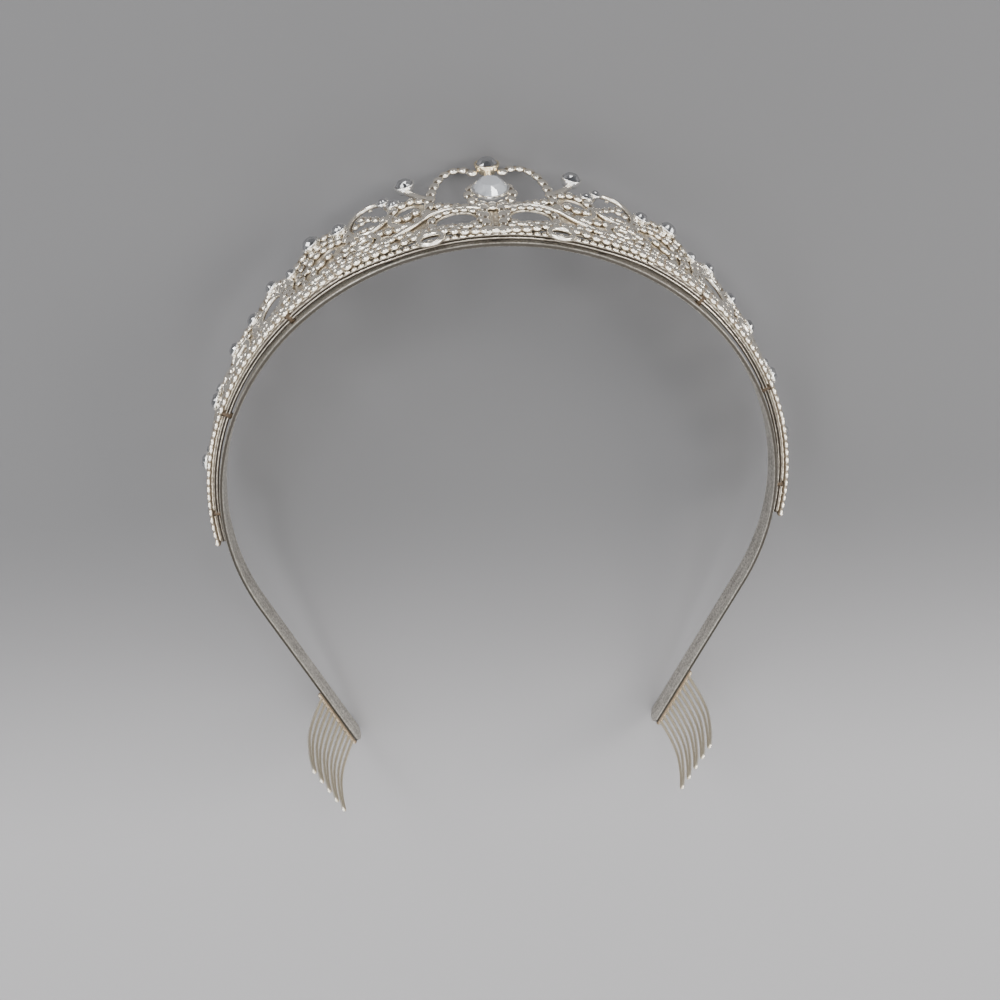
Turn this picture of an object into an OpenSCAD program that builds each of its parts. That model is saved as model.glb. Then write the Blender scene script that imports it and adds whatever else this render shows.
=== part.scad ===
// A silver headband crown: a sprung horseshoe band, a cast openwork crest that stands on its
// front, cut stones in round cups, and a wire comb under each end. It lies as it rests by itself:
// the crest's points down at the front, the band's ends on the surface, the comb teeth up.

/* [Band] */
// Widest distance between the band's inner faces
inner_width = 135; // [110:1:160]
// Thickness of the band's strip
band_thick = 1; // [0.8:0.1:2.5]
// Height of the band's strip
band_height = 5.5; // [3.5:0.1:9]
// Angle of the band's arc on each side of the front
arc_half_angle = 112; // [104:1:118]
// Length of the straight end past the arc
tail_length = 54.5; // [35:0.5:75]
// Corner cut at the end of the strip
end_cut = 1.4; // [0.5:0.1:1.6]

/* [Crest] */
// Height that the crest's pattern is drawn for
crest_height = 38; // [30:0.5:48]
// Angle that the crest covers on each side of the front
crest_half_angle = 95; // [88:0.5:100]
// Angle by which the crest leans outwards
lean_angle = 5.7; // [0:0.1:12]
// Gap between the band and the back of the crest
crest_standoff = 1.6; // [0.6:0.1:2.5]
// Radius of the crest's main wire
wire_radius = 0.9; // [0.6:0.05:1.1]
// Clearance between pieces that are fixed together
joint_gap = 0.06; // [0.04:0.01:0.15]

/* [Stones] */
// Width of the oval centre stone
centre_stone_width = 7.6; // [6:0.1:10]
// Height of the oval centre stone
centre_stone_height = 11; // [8:0.1:14]
// Width of the round stone at the top
top_stone_width = 5; // [3:0.1:6]
// Width of the largest round side stone
side_stone_width = 4.2; // [3:0.1:5]
// Wall of a stone's cup
cup_wall = 0.5; // [0.35:0.05:0.9]
// Floor of a stone's cup
cup_floor = 0.6; // [0.4:0.05:1]

/* [Combs] */
// Number of teeth on each comb
tooth_count = 5; // [3:1:7]
// Length of the rail that carries the teeth
comb_length = 20; // [14:0.5:28]
// Length of a tooth
tooth_length = 25; // [15:0.5:35]
// Radius of the tooth wire
tooth_radius = 0.45; // [0.35:0.05:0.7]
// How far a tooth bows outwards
tooth_bow = 2.6; // [0:0.1:5]

/* [Hidden] */
inner_radius = inner_width / 2;
outer_radius = inner_radius + band_thick;
// The band's straight ends reach this far into its arc, and are this much thinner all round than
// the arc is, so that they join as one strip
seam_overlap = 0.5;
seam_step = 0.02;
crest_radius = outer_radius + crest_standoff + wire_radius;
wire_sides = 4;
// Straight steps round an oval loop: half of them per hundredth of its height, and the fewest
steps_per_rise = 0.3;
min_loop_steps = 8;
tooth_sides = 5;
cup_sides = 8;
// Depth of a stone below its girdle, its crown above it and its table, as shares of its width
pavilion_share = 0.36;
centre_pavilion_share = 0.2;
crown_share = 0.2;
table_share = 0.6;
culet_share = 0.3;
girdle = 0.2;
// Upright edge of the table and of the small flat back
facet_edge = 0.05;
// A cup's back is this far behind the middle of the wires, as a share of the main wire's radius
cup_set_back = 0.7;

// Round side stones of one half. Columns: place round the crest and height on it, both in
// hundredths of its angle and height, and width as a share of the largest.
SIDE_STONES = [
    [15.9, 83.2, 1.00],
    [18.5, 63.7, 0.50],
    [20.6, 73.0, 0.50],
    [29.8, 62.1, 0.76],
    [36.2, 67.4, 1.00],
    [41.5, 51.3, 0.60],
    [47.2, 61.0, 0.72],
    [52.9, 44.7, 0.74],
    [60.4, 45.8, 0.76],
    [69.5, 28.2, 0.88],
    [69.5, 44.2, 0.58],
    [83.2, 25.8, 0.88],
    [83.2, 40.0, 0.58],
    [94.4, 21.1, 0.64],
];

// Wires of one half. Columns: thickness as a share of the main wire, straight steps between each
// two points, then the points, each as a place round the crest and a height on it in hundredths.
WIRES = [
    // lower edge, and the rail above it
    [0.90, 1, [[-2, 1.4], [5.3, 2.6], [9.4, 8.4], [14.4, 8.4], [19, 5], [26, 6.6], [37, 6.4],
        [52.6, 6.4], [68.4, 6.4], [84, 6.4], [99.2, 6.4]]],
    [0.75, 1, [[14, 13.6], [21, 16.4], [31.6, 15.8], [47.4, 15.2], [63, 14.8], [84, 14.2], [99.2, 13.8]]],
    // pair of beaded columns under the centre stone, and the row that the stone's frame stands on
    [0.85, 1, [[1.3, 2], [1.6, 18], [1.5, 33]]],
    [0.85, 1, [[-2, 33.6], [4.2, 36.4], [8, 42], [11.4, 48]]],
    // arch beside the centre stone
    [0.95, 2, [[12.2, 38], [11.4, 50], [11.2, 62], [10.5, 75], [9.2, 87.5], [7.2, 95.6], [4.7, 96], [2.9, 89.5]]],
    // thin upper edge over the second loop
    [0.60, 2, [[2.2, 33], [7, 37], [11.6, 33.5], [15, 24], [19, 16]]],
    // stem and scroll of the tall cup
    [0.75, 1, [[11.6, 57], [13.8, 67], [15.7, 78]]],
    [0.90, 2, [[11.6, 55], [15, 62], [18.4, 56], [19, 45], [16.4, 39], [14.2, 43.5]]],
    // sprig inside the large loop
    [0.75, 2, [[19, 45], [22.4, 55], [25.2, 65]]],
    [0.70, 1, [[23.6, 59], [26.4, 57]]],
    // waved row under the loop
    [0.90, 2, [[12.4, 35], [16.6, 27], [21, 30.5], [25.4, 36], [28.6, 32], [30.6, 23], [35, 16.4]]],
    [0.80, 2, [[16.6, 27], [19, 36], [19, 45]]],
    [0.75, 1, [[22, 16], [21.4, 24], [22.6, 30.5]]],
    // shoulder arch with its scroll
    [0.90, 2, [[27.6, 42], [29.2, 63], [33.6, 70.5], [38.4, 66], [41.6, 52], [42, 34], [40.4, 16]]],
    [0.85, 2, [[28.2, 32.6], [27.4, 43], [31.6, 51.5], [35.8, 50], [37.4, 40], [34.8, 32.5], [32.4, 37.5]]],
    [0.75, 1, [[34.8, 32.5], [36, 24], [34.4, 16]]],
    // spray behind the long leaf
    [0.75, 1, [[42, 42], [45, 52], [47.2, 58]]],
    // three smaller arches towards the end, and the end's turn
    [0.90, 2, [[52.2, 28], [53.6, 45], [57.2, 51.5], [61, 45.5], [63.2, 31.6], [63, 15]]],
    [0.75, 2, [[54.2, 15.4], [55.6, 31], [59.2, 31.6], [60, 23], [57.4, 20.5]]],
    [0.90, 2, [[63.2, 25], [65.2, 40.5], [69.5, 44.2], [73.8, 38.6], [75.8, 26], [75.6, 14.6]]],
    [0.90, 2, [[76, 22], [78.4, 37.2], [83.2, 40], [87.4, 34], [89.2, 23.6], [89, 14.2]]],
    [0.90, 2, [[89.2, 21], [91.6, 33.6], [95.4, 34], [98.4, 27], [99.4, 18], [99.4, 5.6]]],
    // posts between the rails and the cups
    [0.75, 1, [[69.5, 13.6], [69.5, 24]]],
    [0.75, 1, [[83.2, 13.4], [83.2, 22]]],
    [0.75, 1, [[94.4, 12.8], [94.4, 17.4]]],
    [0.75, 1, [[47.2, 5.6], [47.2, 16]]],
    [0.75, 1, [[76, 5.8], [76, 15]]],
];

// Loops of one half. Columns: centre round the crest and on its height, half-width in hundredths
// of its angle, half-height in hundredths of its height, and thickness as a share.
LOOPS = [
    [11.8, 0.8, 2.2, 6.6, 0.70],
    [6.9, 21.4, 4.7, 12.8, 0.70],
    [23.6, 58, 4.4, 19.5, 0.60],
    [47.2, 37.4, 5.4, 22.6, 0.90],
    [47.2, 31, 3.2, 14.5, 0.60],
];

// Solder posts that carry the crest on the band, in hundredths round the crest
SOLDER_POSTS = [0, 20.8, 43, 68, 92];
solder_radius = 1.1;
// Height of the solder posts as a share of the band's height
solder_rise = 0.5;
// Width of a solder post's foot on the band as a share of its head's, and its sides
solder_foot = 0.8;
solder_sides = 6;
solder_edge = 0.1;

// Heights of the centre stone and of the top cup on the crest, in hundredths
centre_stone_rise = 54.5;
top_cup_rise = 93;
// Wire frame round the centre stone's cup: its wire and how far the wire's middle is from the cup
// at the sides and at the ends, all as shares of the main wire's radius
frame_wire = 0.95;
frame_off_sides = 0.5;
frame_off_ends = 0.8;
centre_stretch = centre_stone_height / centre_stone_width;
frame_half_width = centre_stone_width / 2 + joint_gap + cup_wall + frame_off_sides * wire_radius;
frame_half_height = centre_stone_height / 2 + joint_gap + cup_wall + frame_off_ends * wire_radius;

function unit(v) = v / norm(v);
// Row of points on a smooth curve through the given ones, with some steps between each two
function through(p, k) = p[max(0, min(len(p) - 1, k))];
function between(a, b, c, d, t) =
    0.5 * (2 * b + (c - a) * t + (2 * a - 5 * b + 4 * c - d) * t * t + (3 * b - a - 3 * c + d) * t * t * t);
function curve(p, steps) = [
    for (k = [0:len(p) - 2], i = [0:(k == len(p) - 2 ? steps : steps - 1)])
        between(through(p, k - 1), p[k], p[k + 1], through(p, k + 2), i / steps)
];
// Point of the crest's surface: turn round the axis, height up its lean, distance outwards
function outwards(turn) = [sin(turn), cos(turn), 0];
function crest_point(turn, rise, out = 0) =
    outwards(turn) * (crest_radius + rise * sin(lean_angle) + out * cos(lean_angle))
    - [0, 0, 1] * (rise * cos(lean_angle) - out * sin(lean_angle));
function crest_normal(turn) = outwards(turn) * cos(lean_angle) + [0, 0, 1] * sin(lean_angle);
function crest_place(share) = crest_point(share[0] / 100 * crest_half_angle, share[1] / 100 * crest_height);
function crest_facing(share) = crest_normal(share[0] / 100 * crest_half_angle);

// Points beside the band's straight end: along it, outwards from its inner face, and upwards
function tail_point(along, out, rise) =
    outwards(arc_half_angle) * (inner_radius + out)
    + [cos(arc_half_angle), -sin(arc_half_angle), 0] * along - [0, 0, rise];
rail_radius = 0.75;
rail_out = band_thick + joint_gap + rail_radius;
rail_rise = rail_radius + 0.3;
tooth_pitch = comb_length / tooth_count;
tooth_leg = tooth_pitch / 4;
function tooth_middle(i) = tail_length - comb_length + (i + 0.5) * tooth_pitch - end_cut / 2;
function tooth_tip(i) = tail_point(tooth_middle(i), rail_out + 0.1 * tooth_bow, -tooth_length);
// Columns: sideways from the middle, outwards and downwards, as shares of the leg, bow and length
TOOTH = [
    [-1, 0, -0.04],
    [-1, 0.75, 0.25],
    [-0.95, 1, 0.5],
    [-0.75, 0.65, 0.78],
    [-0.55, 0.2, 0.96],
    [0, 0.1, 1],
    [0.55, 0.2, 0.96],
    [0.75, 0.65, 0.78],
    [0.95, 1, 0.5],
    [1, 0.75, 0.25],
    [1, 0, -0.04],
];

// How far a cup stands out from its back, for its stone's width and depth share
function cup_depth(width, pavilion = pavilion_share) = cup_floor + pavilion * width + joint_gap;

// Where the crown touches the surface, before it is tilted: the top cup's back edge and the
// upper corner of each band end
top_cup_radius = top_stone_width / 2 + joint_gap + cup_wall;
top_cup_height = top_cup_rise / 100 * crest_height;
front_touch = crest_point(0, top_cup_height + top_cup_radius, -cup_set_back * wire_radius);
rear_touch = [0, outer_radius * cos(arc_half_angle) - (tail_length - end_cut) * sin(arc_half_angle), -band_height];
rest_tilt = atan((rear_touch[2] - front_touch[2]) / (front_touch[1] - rear_touch[1]));
function tilted(p) = [p[0], p[1] * cos(rest_tilt) - p[2] * sin(rest_tilt), p[1] * sin(rest_tilt) + p[2] * cos(rest_tilt)];
// Farthest points front and rear, for the middle of the whole crown
front_reach = tilted(crest_point(0, top_cup_height + table_share * top_stone_width / 2,
    cup_depth(top_stone_width) - cup_set_back * wire_radius + crown_share * top_stone_width))[1];
rear_reach = tilted(tooth_tip(tooth_count - 1))[1] - tooth_radius;

function row_name(side, i) = str(side, "_stone_", i + 1);

// Lays what is drawn in the crown's own frame on the surface, in the way that it rests
module at_rest() {
    translate([0, -(front_reach + rear_reach) / 2, -tilted(rear_touch)[2]]) rotate([rest_tilt, 0, 0]) children();
}

module on_side(side) {
    mirror([side == "left" ? 1 : 0, 0, 0]) children();
}

// Tube of a given radius along points, with the direction that its first corner faces at each
module tube(points, facings, radius, sides, closed = false) {
    n = len(points);
    last = n - 1;
    heading = [for (i = [0:last]) unit(closed
        ? points[(i + 1) % n] - points[(i + last) % n]
        : points[min(last, i + 1)] - points[max(0, i - 1)])];
    corners = [for (i = [0:last], j = [0:sides - 1])
        let (across = unit(cross(heading[i], facings[i])), up = cross(across, heading[i]), a = 360 * j / sides)
        points[i] + radius * (cos(a) * up + sin(a) * across)];
    walls = [for (i = [0:(closed ? last : last - 1)], j = [0:sides - 1])
        let (k = (i + 1) % n, m = (j + 1) % sides)
        [i * sides + j, k * sides + j, k * sides + m, i * sides + m]];
    start_cap = [for (j = [0:sides - 1]) j];
    end_cap = [for (j = [sides - 1:-1:0]) last * sides + j];
    polyhedron(corners, closed ? walls : concat(walls, [start_cap, end_cap]));
}

module crest_wire(row) {
    shares = curve(row[2], row[1]);
    tube([for (s = shares) crest_place(s)], [for (s = shares) crest_facing(s)],
        row[0] * wire_radius, wire_sides);
}

// Oval loop on the crest, with its half-sizes in hundredths as the wires have them
module crest_loop(row) {
    steps = max(min_loop_steps, 2 * ceil(row[3] * steps_per_rise));
    shares = [for (i = [0:steps - 1])
        [row[0] + row[2] * sin(360 * i / steps), row[1] + row[3] * cos(360 * i / steps)]];
    tube([for (s = shares) crest_place(s)], [for (s = shares) crest_facing(s)],
        row[4] * wire_radius, wire_sides, true);
}

// Moves a piece drawn flat, with +Z outwards and +Y up the crest, to its place on the crest
module set_on_crest(place) {
    turn = place[0] / 100 * crest_half_angle;
    at = crest_point(turn, place[1] / 100 * crest_height, -cup_set_back * wire_radius);
    translate(at) rotate([0, 0, -turn]) rotate([-90 + lean_angle, 0, 0]) children();
}

// Round or oval cup, before its stone's seat is cut. The stretch makes a round one oval.
module cup(width, stretch = 1, pavilion = pavilion_share) {
    inside = width / 2 + joint_gap;
    scale([1, (stretch * inside + cup_wall) / (inside + cup_wall), 1])
        cylinder(r = inside + cup_wall, h = cup_depth(width, pavilion), $fn = cup_sides);
}

// Seat of a stone, open at the cup's front, which also cuts what crosses the cup
module seat(width, stretch = 1) {
    translate([0, 0, cup_floor]) scale([1, stretch, 1])
        cylinder(r = width / 2 + joint_gap, h = cup_depth(width), $fn = cup_sides);
}

// Cut stone with a flat table, a ring of crown facets, a girdle and a small flat back. It has as
// many sides as its cup and sits in it with the joint's clearance.
module cut_stone(width, stretch = 1, pavilion = pavilion_share) {
    deep = pavilion * width;
    high = crown_share * width;
    translate([0, 0, cup_floor + joint_gap]) hull() {
        scale([1, stretch, 1]) cylinder(d = culet_share * width, h = facet_edge, $fn = cup_sides);
        translate([0, 0, deep - girdle]) scale([1, stretch, 1])
            cylinder(d = width, h = girdle, $fn = cup_sides);
        translate([0, 0, deep + high - facet_edge]) scale([1, stretch, 1]) rotate([0, 0, 180 / cup_sides])
            cylinder(d = table_share * width, h = facet_edge, $fn = cup_sides);
    }
}

module headband() {
    color("silver") at_rest() {
        rotate([0, 0, 90 - arc_half_angle]) rotate_extrude(angle = 2 * arc_half_angle, $fn = 180)
            translate([inner_radius, -band_height]) square([band_thick, band_height]);
        for (side = ["left", "right"]) on_side(side) rotate([0, 0, -arc_half_angle])
            translate([0, outer_radius - seam_step, -band_height]) rotate([90, 0, 0])
                linear_extrude(band_thick - 2 * seam_step) polygon([
                    [-seam_overlap, seam_step],
                    [tail_length - end_cut, seam_step],
                    [tail_length, end_cut],
                    [tail_length, band_height - end_cut],
                    [tail_length - end_cut, band_height - seam_step],
                    [-seam_overlap, band_height - seam_step],
                ]);
    }
}

module half_crest() {
    for (row = WIRES) crest_wire(row);
    for (row = LOOPS) crest_loop(row);
    for (row = SIDE_STONES) set_on_crest(row) cup(row[2] * side_stone_width);
    for (share = SOLDER_POSTS) solder_post(share);
}

module seats() {
    set_on_crest([0, centre_stone_rise]) seat(centre_stone_width, centre_stretch);
    set_on_crest([0, top_cup_rise]) seat(top_stone_width);
    for (side = ["left", "right"], row = SIDE_STONES) on_side(side) set_on_crest(row) seat(row[2] * side_stone_width);
}

// Blob of solder from the lower edge's wire to the band's outer face
module solder_post(share) {
    turn = share / 100 * crest_half_angle;
    rise = solder_rise * band_height;
    reach = crest_standoff + wire_radius - joint_gap + rise * sin(lean_angle);
    hull() {
        rotate([0, 0, -turn]) translate([0, outer_radius + joint_gap, -rise]) rotate([-90, 0, 0])
            cylinder(r = solder_foot * solder_radius, h = solder_edge, $fn = solder_sides);
        rotate([0, 0, -turn]) translate([0, outer_radius + reach, -rise]) rotate([-90, 0, 0])
            cylinder(r = solder_radius, h = solder_edge, $fn = solder_sides);
    }
}

module crest() {
    color("gainsboro") at_rest() difference() {
        union() {
            for (side = ["left", "right"]) on_side(side) half_crest();
            set_on_crest([0, centre_stone_rise]) cup(centre_stone_width, centre_stretch, centre_pavilion_share);
            set_on_crest([0, top_cup_rise]) cup(top_stone_width);
            crest_loop([0, centre_stone_rise, 100 * frame_half_width / (crest_radius * crest_half_angle * PI / 180),
                100 * frame_half_height / crest_height, frame_wire]);
            // neck between the centre stone's frame and the top cup
            crest_wire([1.1, 1, [[0, centre_stone_rise + 100 * frame_half_height / crest_height - 2], [0, top_cup_rise - 6]]]);
        }
        seats();
    }
}

module comb(side) {
    color("lightgrey") at_rest() on_side(side) union() {
        rail_ends = [tail_length - comb_length - end_cut / 2, tail_length - end_cut / 2];
        rail = [for (along = rail_ends) tail_point(along, rail_out, rail_rise)];
        tube(rail, [for (p = rail) [0, 0, 1]], rail_radius, tooth_sides);
        for (i = [0:tooth_count - 1]) {
            wire = [for (t = TOOTH) tail_point(tooth_middle(i) + t[0] * tooth_leg,
                rail_out + t[1] * tooth_bow, -t[2] * tooth_length)];
            tube(wire, [for (p = wire) outwards(arc_half_angle)], tooth_radius, tooth_sides);
        }
    }
}

module comb_left() {
    comb("left");
}

module comb_right() {
    comb("right");
}

module centre_stone() {
    color("white") at_rest() set_on_crest([0, centre_stone_rise])
        cut_stone(centre_stone_width, centre_stretch, centre_pavilion_share);
}

module top_stone() {
    color("white") at_rest() set_on_crest([0, top_cup_rise]) cut_stone(top_stone_width);
}

module side_stone(side, i) {
    color("white") at_rest() on_side(side) set_on_crest(SIDE_STONES[i])
        cut_stone(SIDE_STONES[i][2] * side_stone_width);
}

headband();
crest();
comb_left();
comb_right();
centre_stone();
top_stone();
for (side = ["left", "right"], i = [0:len(SIDE_STONES) - 1])
    side_stone(side, i);
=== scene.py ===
from math import atan2, cos, pi, radians, sin

import bpy
import numpy as np
from mathutils import Matrix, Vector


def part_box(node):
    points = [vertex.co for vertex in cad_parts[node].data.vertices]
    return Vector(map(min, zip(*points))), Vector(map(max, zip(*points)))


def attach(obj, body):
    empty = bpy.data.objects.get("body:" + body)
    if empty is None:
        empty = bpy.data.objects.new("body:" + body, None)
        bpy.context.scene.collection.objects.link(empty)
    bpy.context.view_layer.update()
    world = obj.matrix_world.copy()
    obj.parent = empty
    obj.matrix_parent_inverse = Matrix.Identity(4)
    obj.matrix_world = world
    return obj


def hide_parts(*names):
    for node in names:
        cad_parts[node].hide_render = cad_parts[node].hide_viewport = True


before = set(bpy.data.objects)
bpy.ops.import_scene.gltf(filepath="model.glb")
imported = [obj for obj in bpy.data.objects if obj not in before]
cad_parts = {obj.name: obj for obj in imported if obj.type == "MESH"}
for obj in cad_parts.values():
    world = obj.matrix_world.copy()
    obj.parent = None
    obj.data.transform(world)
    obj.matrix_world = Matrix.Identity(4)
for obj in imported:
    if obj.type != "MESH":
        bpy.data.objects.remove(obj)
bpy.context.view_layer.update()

# The headband: one sprung strip of silver-plated steel, rolled flat and bent into a horseshoe whose
# two straight ends draw together. Its edges are rolled round, and its ends are cut to a blunt tip.
inner_radius = 0.0675
band_thick = 0.001
band_height = 0.0055
outer_radius = inner_radius + band_thick
arc_half_angle = radians(112)
tail_length = 0.0545
end_cut = 0.0014
end_inset = 0.0002
edge_radius = 0.0003
tip_length = 0.0018
tip_least = 0.4
arc_steps, tail_steps = 181, 40
# How far in from its edges the strip's painted dark edge reaches, as a share, and the strip's length
# round its outline
edge_fade = 0.06
wrap_length = 0.0136
satin_dull, satin_bright = (0.31, 0.288, 0.254, 1), (0.79, 0.755, 0.69, 1)
# Near-black painted on the rolled edges: painted dark reflection and shade
painted_dark_edge = (0.045, 0.04, 0.034, 1)
# Streaks per metre along and across the strip, spots per metre, and the weights of the two
streak_grain, spot_grain = (150, 5200, 1), 2000
streak_share, spot_share = 0.5, 0.9
speckle_range = 0.52, 0.88
# The crown lies tilted on its highest cup, so the tilt needs these sizes of the crest and that cup
lean = radians(5.7)
crest_height = 0.038
crest_half_angle = 95.0
wire_radius = 0.0009
crest_standoff = 0.0016
crest_radius = outer_radius + crest_standoff + wire_radius
joint_gap = 0.00006
cup_wall = 0.0005
cup_set_back = 0.7 * wire_radius
top_stone_width = 0.005
top_cup_rise = 93


def outwards(turn):
    """Level unit vectors away from the crown's axis, for angles from the front towards +X."""
    return np.stack([np.sin(turn), np.cos(turn), 0 * turn], axis=-1)


def crest_flat(turn, rise, out):
    """Points in the crown's own frame: straight out from a cone that leans outwards, by angle round
    it, by distance from the band's edge up its lean, and by distance outwards."""
    up = np.array([0.0, 0.0, 1.0])
    radial = crest_radius + rise * sin(lean) + out * cos(lean)
    return outwards(turn) * radial[..., None] - up * (rise * cos(lean) - out * sin(lean))[..., None]


# The crown lies on its highest cup and on the two lower corners of the band's ends
top_cup_edge = top_cup_rise / 100 * crest_height + top_stone_width / 2 + joint_gap + cup_wall
front_touch = crest_flat(np.zeros(1), np.array([top_cup_edge]), np.array([-cup_set_back]))[0]
tail_reach = tail_length - end_cut
rear_reach = outer_radius * cos(arc_half_angle) - tail_reach * sin(arc_half_angle)
rear_touch = np.array([0, rear_reach, -band_height])
rest_tilt = atan2(rear_touch[2] - front_touch[2], front_touch[1] - rear_touch[1])
rest_turn = np.array([[1, 0, 0],
                      [0, cos(rest_tilt), -sin(rest_tilt)],
                      [0, sin(rest_tilt), cos(rest_tilt)]])
band_front = outer_radius * cos(rest_tilt) + band_height * sin(rest_tilt)
rest_move = np.array([0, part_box("headband")[1][1] - band_front, -(rest_turn @ rear_touch)[2]])


def at_rest(points):
    """Points of the crown's own frame, tilted about X and moved to where the crown lies."""
    return points @ rest_turn.T + rest_move


def unit(v):
    """Each vector divided by its own length."""
    return v / np.linalg.norm(v, axis=-1, keepdims=True)


def lengths_along(path):
    """For each point of a line, the sum of the straight steps up to it."""
    return np.concatenate([[0], np.cumsum(np.linalg.norm(np.diff(path, axis=0), axis=1))])


def sweep(path, across, up, profile_across, profile_up):
    """A closed outline carried along a path: each path point plus the outline's two coordinates
    times the path's two cross directions. Rows run along the path, columns round the outline."""
    sideways = across[:, None] * profile_across[..., None]
    return path[:, None] + sideways + up[:, None] * profile_up[..., None]


def grid_faces(rows, columns, wrap_rows=False):
    """Quads of a grid whose columns close on themselves, row by row, with rows closed too if told."""
    i = np.arange(rows if wrap_rows else rows - 1)[:, None]
    j = np.arange(columns)[None]
    k, m = (i + 1) % rows, (j + 1) % columns
    corners = [i * columns + j, i * columns + m, k * columns + m, k * columns + j]
    return np.stack(corners, axis=-1).reshape(-1, 4)


def tube_faces(rows, columns, closed=False):
    """The quads of a tube, and a flat cap on each end unless the tube closes on itself."""
    faces = [tuple(quad) for quad in grid_faces(rows, columns, closed)]
    if not closed:
        last = (rows - 1) * columns
        faces += [tuple(range(columns - 1, -1, -1)), tuple(range(last, last + columns))]
    return faces


class Shape:
    """Grids gathered into one mesh, with one value per vertex, its lit share: 1 where the metal is
    shown lit, lower where the material paints shade or a dark edge on it.
    """

    def __init__(self):
        self.points, self.faces, self.proud, self.count = [], [], [], 0

    def add(self, points, faces, proud):
        """Adds a grid, with its faces numbered on from the points before it."""
        points = points.reshape(-1, 3)
        self.points.append(points)
        self.proud.append(np.broadcast_to(np.asarray(proud, float).reshape(-1), (len(points),)))
        self.faces += [tuple(int(v) + self.count for v in face) for face in faces]
        self.count += len(points)

    def place(self, name, material, slot, node, smooth=True, outlines=None):
        """Makes one piece of the grids, which stands for a node. Outlines are its places in UV."""
        mesh = bpy.data.meshes.new(name)
        mesh.from_pydata(np.concatenate(self.points), [], self.faces)
        mesh.polygons.foreach_set("use_smooth", np.full(len(self.faces), smooth))
        proud = mesh.attributes.new("proud", "FLOAT", "POINT")
        proud.data.foreach_set("value", np.concatenate(self.proud).astype(np.float32))
        if outlines is not None:
            corners = np.empty(len(mesh.loops), dtype=np.int32)
            mesh.loops.foreach_get("vertex_index", corners)
            places = outlines[corners].astype(np.float32)
            mesh.uv_layers.new(name="UVMap").data.foreach_set("uv", places.ravel())
        mesh.validate()
        mesh.materials.append(material)
        piece = bpy.data.objects.new(name, mesh)
        bpy.context.scene.collection.objects.link(piece)
        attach(piece, "root")
        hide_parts(node)
        return piece


def feed(tree, node, inputs):
    """Gives each input of a node its number, its colour, or the output of another node."""
    for socket, value in inputs.items():
        if isinstance(value, bpy.types.NodeSocket):
            tree.links.new(value, node.inputs[socket])
        else:
            node.inputs[socket].default_value = value
    return node


def add_node(tree, kind, output, inputs={}, **settings):
    """One output of a new shader node that has its settings and its inputs."""
    node = tree.nodes.new("ShaderNode" + kind)
    for name, value in settings.items():
        setattr(node, name, value)
    return feed(tree, node, inputs).outputs[output]


def object_place(tree):
    """The shaded point in the piece's own coordinates, in metres."""
    return add_node(tree, "TexCoord", "Object")


def noise(tree, place, scale, detail=2.0):
    """A cloudy value from 0 to 1, with its scale in clouds per metre."""
    return add_node(tree, "TexNoise", "Fac", {"Vector": place, "Scale": scale, "Detail": detail})


def proud_of_mesh(tree):
    """The value that the mesh carries: 1 where the metal is shown lit, 0 where painted shade or a
    painted dark edge goes.
    """
    return add_node(tree, "Attribute", "Fac", attribute_name="proud")


def ramp(tree, value, start=0.0, end=1.0, low=0.0, high=1.0, bend="LINEAR"):
    """A value that goes from low to high while the given one goes from start to end."""
    inputs = {"Value": value, "From Min": start, "From Max": end, "To Min": low, "To Max": high}
    return add_node(tree, "MapRange", "Result", inputs, interpolation_type=bend)


def between(tree, share, low, high):
    """The colour between two, by a share from 0 to 1."""
    return add_node(tree, "Mix", "Result", {"Factor": share, "A": low, "B": high}, data_type="RGBA")


def dents(tree, height, strength, depth):
    """The surface's direction, tilted by the slope of a height."""
    return add_node(tree, "Bump", "Normal", {"Height": height, "Strength": strength, "Distance": depth})


def new_material(name, uniform):
    """A material, its node tree, and its shader with the values that are the same all over."""
    material = bpy.data.materials.new(name)
    material.use_nodes = True
    tree = material.node_tree
    return material, tree, feed(tree, tree.nodes["Principled BSDF"], uniform)


def satin_steel():
    """Rolled and plated strip: fine streaks along its length and a fine speckle of dull spots. Their
    weighted sum picks between a dull and a bright colour. The rolled edges are painted near-black, a
    painted dark reflection and shade along them."""
    material, tree, shader = new_material("satin strip", {"Metallic": 1.0})
    along_strip = add_node(tree, "UVMap", "UV", uv_map="UVMap")
    stretched = add_node(tree, "Mapping", "Vector", {"Vector": along_strip, "Scale": streak_grain})
    streaks = noise(tree, stretched, 1.0, 4)
    spots = noise(tree, object_place(tree), spot_grain, 4)
    streak_part = add_node(tree, "Math", 0, {0: streaks, 1: streak_share}, operation="MULTIPLY")
    both = add_node(tree, "Math", 0, {0: spots, 1: spot_share, 2: streak_part},
                    operation="MULTIPLY_ADD")
    face = between(tree, ramp(tree, both, *speckle_range), satin_dull, satin_bright)
    # The lit share is 0 at the rolled edges, where the colour goes to the painted dark edge
    feed(tree, shader, {"Base Color": between(tree, proud_of_mesh(tree), painted_dark_edge, face),
                        "Roughness": ramp(tree, both, low=0.58, high=0.38),
                        "Normal": dents(tree, streaks, strength=0.3, depth=0.0001)})
    return material


def end_directions(side):
    """The directions away from the middle and onwards along one of the band's straight ends."""
    heading = np.array([side * cos(arc_half_angle), -sin(arc_half_angle), 0])
    return outwards(np.array(side * arc_half_angle)), heading


def band_path():
    """The band's middle line: an arc with a straight line at each end, and its outward directions."""
    turn = np.linspace(-arc_half_angle, arc_half_angle, arc_steps)
    arc = outwards(turn) * (inner_radius + band_thick / 2)
    along = np.linspace(0, 1, tail_steps + 1)[1:, None] * (tail_length - end_inset)
    ends, facings = [], []
    for side in (-1, 1):
        facing, heading = end_directions(side)
        ends.append(facing * (inner_radius + band_thick / 2) + heading * along)
        facings.append(np.repeat(facing[None], tail_steps, axis=0))
    path = np.concatenate([ends[0][::-1], arc, ends[1]])
    return path, np.concatenate([facings[0], outwards(turn), facings[1]])


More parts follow.
